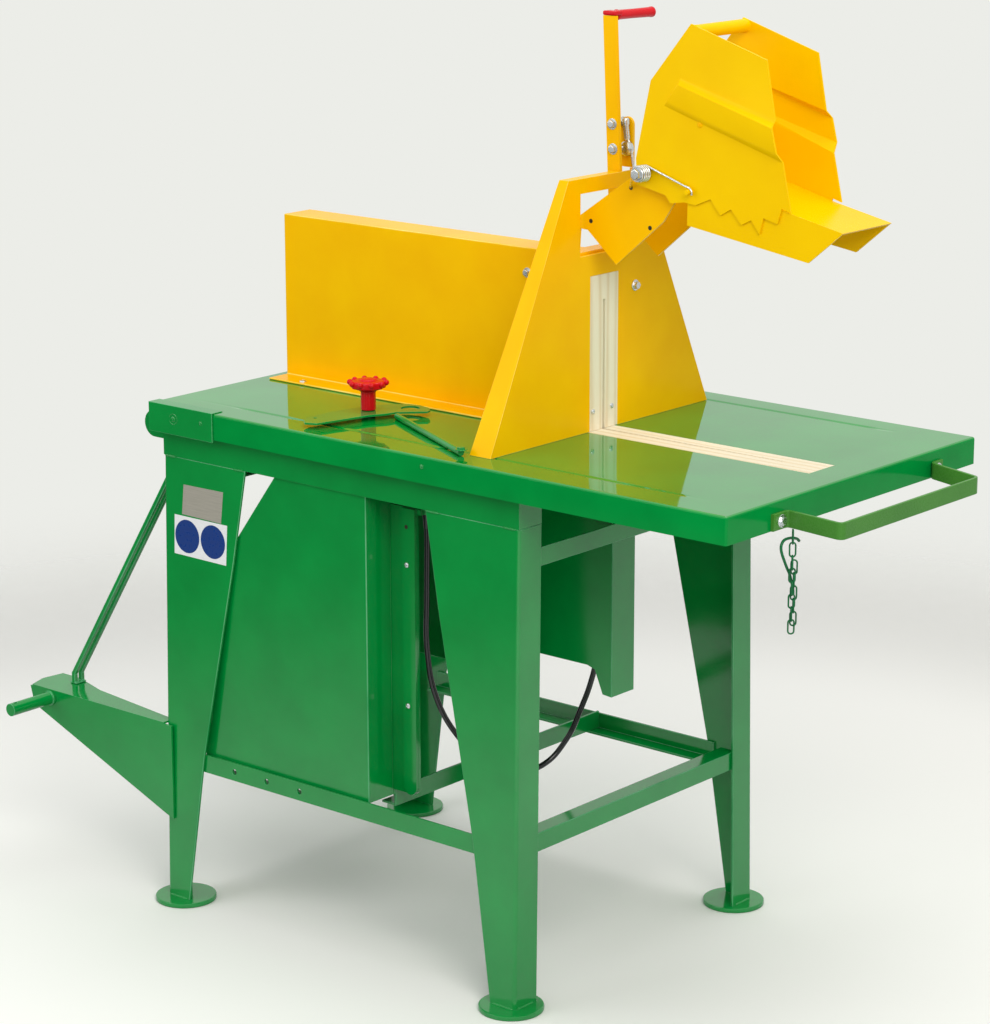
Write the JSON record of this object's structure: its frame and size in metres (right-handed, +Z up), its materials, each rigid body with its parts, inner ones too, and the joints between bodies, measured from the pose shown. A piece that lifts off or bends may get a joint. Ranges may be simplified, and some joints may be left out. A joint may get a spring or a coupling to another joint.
{
  "type": "firewood circular saw",
  "caption": "Tractor-driven firewood circular saw with a sliding table, tall fence, blade guards, sprung hood, hand lever and rear hitch.",
  "frame": {"origin": "on the floor, below the middle of the part's length and width", "axes": "+X towards the operator's end and the push handle, -X towards the tractor, +Y to the operator's right, +Z up"},
  "size_m": [1.5844, 0.796, 1.488],
  "materials": {
    "green_paint": "glossy green enamel",
    "yellow_paint": "glossy yellow enamel",
    "olive_paint": "satin olive-green enamel",
    "red_plastic": "glossy red plastic",
    "pine": "planed pale pine",
    "zinc": "bright zinc plating",
    "bright_steel": "ground steel",
    "cast_iron": "dark cast iron",
    "rubber": "glossy black sheath"
  },
  "bodies": {
    "frame": {"leg_tractor_left": "green_paint", "leg_tractor_right": "green_paint", "leg_operator_left": "green_paint", "leg_operator_right": "green_paint", "side_rail_left": "green_paint", "side_rail_right": "green_paint", "cross_rail_tractor": "green_paint", "cross_rail_operator": "green_paint", "stretcher_left": "green_paint", "stretcher_right": "green_paint", "stretcher_tractor": "green_paint", "stretcher_operator": "green_paint", "middle_member": "green_paint", "belt_casing": "green_paint", "casing_back_plate": "green_paint", "lower_blade_guard": "green_paint", "hitch_gusset_left": "green_paint", "hitch_gusset_right": "green_paint", "hitch_pin_left": "green_paint", "hitch_pin_right": "green_paint", "hitch_brace_left": "green_paint", "hitch_brace_right": "green_paint", "gearbox": "cast_iron", "arbor_housing": "cast_iron", "arbor_bearing_pulley": "bright_steel", "arbor_bearing_blade": "bright_steel", "drive_belt": "rubber", "control_cable": "rubber"},
    "table": {"table_top": "green_paint", "corner_cap": "green_paint", "wood_strip": "pine", "box_guard": "yellow_paint", "fence": "yellow_paint", "fence_insert": "pine", "hood_arm": "yellow_paint", "hood_pivot_bolt": "zinc", "spoon_plate": "green_paint", "stay_rod": "green_paint", "push_handle": "olive_paint"},
    "hood": {"hood_cheek_left": "yellow_paint", "hood_cheek_right": "yellow_paint", "hood_cross_bar": "yellow_paint", "hood_channel": "yellow_paint", "hood_spring": "zinc"},
    "lever": {"lever_bar": "yellow_paint", "lever_side_plate": "yellow_paint", "lever_cable_clamp": "zinc", "lever_grip": "red_plastic"},
    "knob": {"clamp_knob": "red_plastic"},
    "blade": {"arbor": "bright_steel", "saw_blade": "bright_steel", "blade_flange": "bright_steel"},
    "drive": {"drive_shaft": "bright_steel"},
    "input": {"input_shaft": "bright_steel"},
    "roller_tl": {"roller_tractor_left": "green_paint"},
    "roller_tr": {"roller_tractor_right": "green_paint"},
    "roller_ol": {"roller_operator_left": "green_paint"},
    "roller_or": {"roller_operator_right": "green_paint"},
    "chain": {"chain": "green_paint", "hook": "green_paint"}
  },
  "joints": [
    {"name": "table_slide", "type": "slide", "parent": "frame", "child": "table", "axis": [1, 0, 0], "range_m": [-0.38, 0]},
    {"name": "hood_hinge", "type": "hinge", "parent": "table", "child": "hood", "pos_m": [0.34485, 0.007, 1.266], "axis": [0, 1, 0], "range_deg": [0, 50], "stiffness_Nm_per_rad": 4.5, "springref_deg": -126.05},
    {"name": "lever_hinge", "type": "hinge", "parent": "table", "child": "lever", "pos_m": [0.20385, 0.051, 1.15], "axis": [0, 1, 0], "range_deg": [-20, 0], "stiffness_Nm_per_rad": 1.5, "springref_deg": 22.92},
    {"name": "knob_turn", "type": "hinge", "parent": "table", "child": "knob", "pos_m": [-0.12115, -0.163, 0.892], "axis": [0, 0, 1], "continuous": true},
    {"name": "blade_spin", "type": "hinge", "parent": "frame", "child": "blade", "pos_m": [-0.12615, 0.007, 0.742], "axis": [0, 1, 0], "continuous": true},
    {"name": "drive_spin", "type": "hinge", "parent": "frame", "child": "drive", "pos_m": [-0.19715, -0.25, 0.352], "axis": [0, 1, 0], "continuous": true},
    {"name": "input_spin", "type": "hinge", "parent": "frame", "child": "input", "pos_m": [-0.3, -0.1644, 0.352], "axis": [1, 0, 0], "continuous": true},
    {"name": "roller_tl_spin", "type": "hinge", "parent": "frame", "child": "roller_tl", "pos_m": [-0.45015, -0.298, 0.821], "axis": [0, 1, 0], "continuous": true},
    {"name": "roller_tr_spin", "type": "hinge", "parent": "frame", "child": "roller_tr", "pos_m": [-0.45015, 0.298, 0.821], "axis": [0, 1, 0], "continuous": true},
    {"name": "roller_ol_spin", "type": "hinge", "parent": "frame", "child": "roller_ol", "pos_m": [0.26385, -0.298, 0.821], "axis": [0, 1, 0], "continuous": true},
    {"name": "roller_or_spin", "type": "hinge", "parent": "frame", "child": "roller_or", "pos_m": [0.26385, 0.298, 0.821], "axis": [0, 1, 0], "continuous": true},
    {"name": "chain_swing", "type": "hinge", "parent": "table", "child": "chain", "pos_m": [0.69985, -0.172, 0.8082], "axis": [0, 1, 0], "range_deg": [-30, 30]}
  ],
  "couplings": [
    {"joint": "drive_spin", "follows": "blade_spin", "ratio": 0.66667},
    {"joint": "input_spin", "follows": "blade_spin", "ratio": -0.66667},
    {"joint": "roller_tl_spin", "follows": "table_slide", "rad_per_m": 76.923},
    {"joint": "roller_tr_spin", "follows": "table_slide", "rad_per_m": 76.923},
    {"joint": "roller_ol_spin", "follows": "table_slide", "rad_per_m": 76.923},
    {"joint": "roller_or_spin", "follows": "table_slide", "rad_per_m": 76.923}
  ]
}
